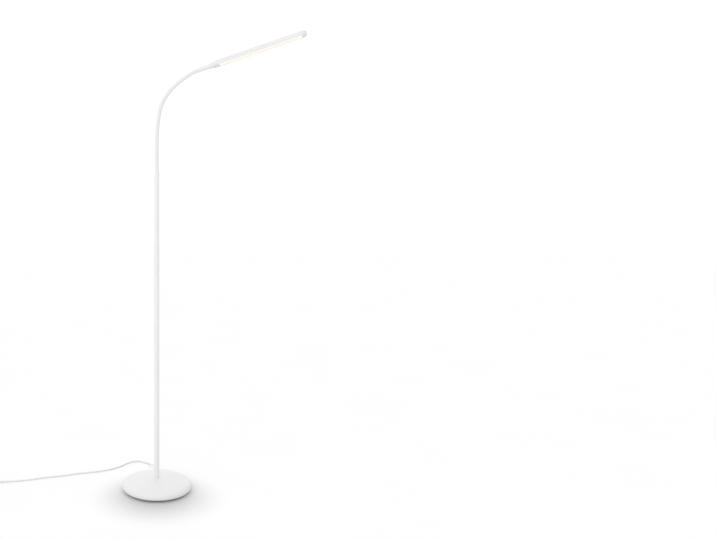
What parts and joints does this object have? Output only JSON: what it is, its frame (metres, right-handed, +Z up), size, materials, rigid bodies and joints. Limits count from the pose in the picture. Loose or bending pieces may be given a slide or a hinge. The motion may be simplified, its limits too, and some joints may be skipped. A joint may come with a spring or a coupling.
{
  "type": "gooseneck reading floor lamp",
  "caption": "Slim white LED floor lamp with a round weighted base, straight pole, flexible gooseneck and a long flat lamp head with an opal light window underneath.",
  "frame": {"origin": "on the floor under the pole's axis, at the centre of the round base", "axes": "+Z up along the pole, +X the way the gooseneck bends over and the lamp head points, +Y to the side, where the cord leaves the base"},
  "size_m": [1.0597, 0.4243, 1.4295],
  "materials": {
    "cover_white": "satin",
    "weight_iron": "matte",
    "plate_steel": "satin",
    "fastener_steel": "satin",
    "pad_foam": "matte",
    "driver_case": "matte",
    "cord_white": "satin",
    "lead_black": "satin",
    "pole_white": "satin",
    "collar_white": "satin",
    "bush_brass": "satin",
    "sleeve_white": "satin",
    "core_steel": "satin",
    "housing_white": "satin",
    "plate_white": "satin",
    "diffuser_opal": "satin",
    "spreader_aluminium": "satin",
    "board_white": "satin",
    "led_yellow": "gloss",
    "control_green": "satin",
    "touch_grey": "satin",
    "plug_white": "satin",
    "pin_brass": "polished",
    "tie_white": "satin"
  },
  "bodies": {
    "stand": {"base_cover": "cover_white", "base_weight": "weight_iron", "base_plate": "plate_steel", "base_screws": "fastener_steel", "base_pad": "pad_foam", "base_nipple": "fastener_steel", "base_washer": "fastener_steel", "base_nut": "fastener_steel", "led_driver": "driver_case", "cord_clamp": "driver_case", "strain_relief": "cord_white", "inner_cord": "cord_white", "pole_lower": "pole_white", "pole_middle": "pole_white", "pole_upper": "pole_white", "pole_couplers": "fastener_steel", "pole_foot_bush": "bush_brass", "pole_lead": "lead_black", "neck_collar": "collar_white", "collar_screw": "fastener_steel", "neck_sleeve_foot": "sleeve_white", "neck_core_foot": "core_steel", "mains_cord": "cord_white", "cord_coil": "cord_white", "cord_tie": "tie_white", "mains_plug": "plug_white", "plug_pins": "pin_brass"},
    "link_1": {"neck_sleeve_1": "sleeve_white", "neck_core_1": "core_steel", "neck_lead_1": "lead_black"},
    "link_2": {"neck_sleeve_2": "sleeve_white", "neck_core_2": "core_steel", "neck_lead_2": "lead_black"},
    "link_3": {"neck_sleeve_3": "sleeve_white", "neck_core_3": "core_steel", "neck_lead_3": "lead_black"},
    "link_4": {"neck_sleeve_4": "sleeve_white", "neck_core_4": "core_steel", "neck_lead_4": "lead_black"},
    "link_5": {"neck_sleeve_5": "sleeve_white", "neck_core_5": "core_steel", "neck_lead_5": "lead_black"},
    "link_6": {"neck_sleeve_6": "sleeve_white", "neck_core_6": "core_steel", "neck_lead_6": "lead_black"},
    "head": {"neck_sleeve_tip": "sleeve_white", "neck_core_tip": "core_steel", "head_lead": "lead_black", "head_housing": "housing_white", "underside_plate": "plate_white", "diffuser": "diffuser_opal", "heat_spreader": "spreader_aluminium", "led_board": "board_white", "leds": "led_yellow", "board_screws": "fastener_steel", "control_board": "control_green", "touch_pad": "touch_grey", "socket_screw": "fastener_steel"}
  },
  "joints": [
    {"name": "neck_bend_1", "type": "hinge", "parent": "stand", "child": "link_1", "pos_m": [0, 0, 1.054], "axis": [0, 1, 0], "range_deg": [-25, 25]},
    {"name": "neck_swing_1", "type": "hinge", "parent": "link_1", "child": "link_2", "pos_m": [0.00036, 0, 1.1055], "axis": [0.9999, 0, -0.014], "range_deg": [-25, 25]},
    {"name": "neck_bend_2", "type": "hinge", "parent": "link_2", "child": "link_3", "pos_m": [0.00279, 0, 1.15693], "axis": [0, 1, 0], "range_deg": [-25, 25]},
    {"name": "neck_swing_2", "type": "hinge", "parent": "link_3", "child": "link_4", "pos_m": [0.01097, 0, 1.20772], "axis": [0.9715, 0, -0.2368], "range_deg": [-25, 25]},
    {"name": "neck_bend_3", "type": "hinge", "parent": "link_4", "child": "link_5", "pos_m": [0.03263, 0, 1.25407], "axis": [0, 1, 0], "range_deg": [-25, 25]},
    {"name": "neck_swing_3", "type": "hinge", "parent": "link_5", "child": "link_6", "pos_m": [0.0687, 0, 1.29059], "axis": [0.6032, 0, -0.7976], "range_deg": [-25, 25]},
    {"name": "neck_bend_4", "type": "hinge", "parent": "link_6", "child": "head", "pos_m": [0.1118, 0, 1.31869], "axis": [0, 1, 0], "range_deg": [-25, 25]}
  ]
}
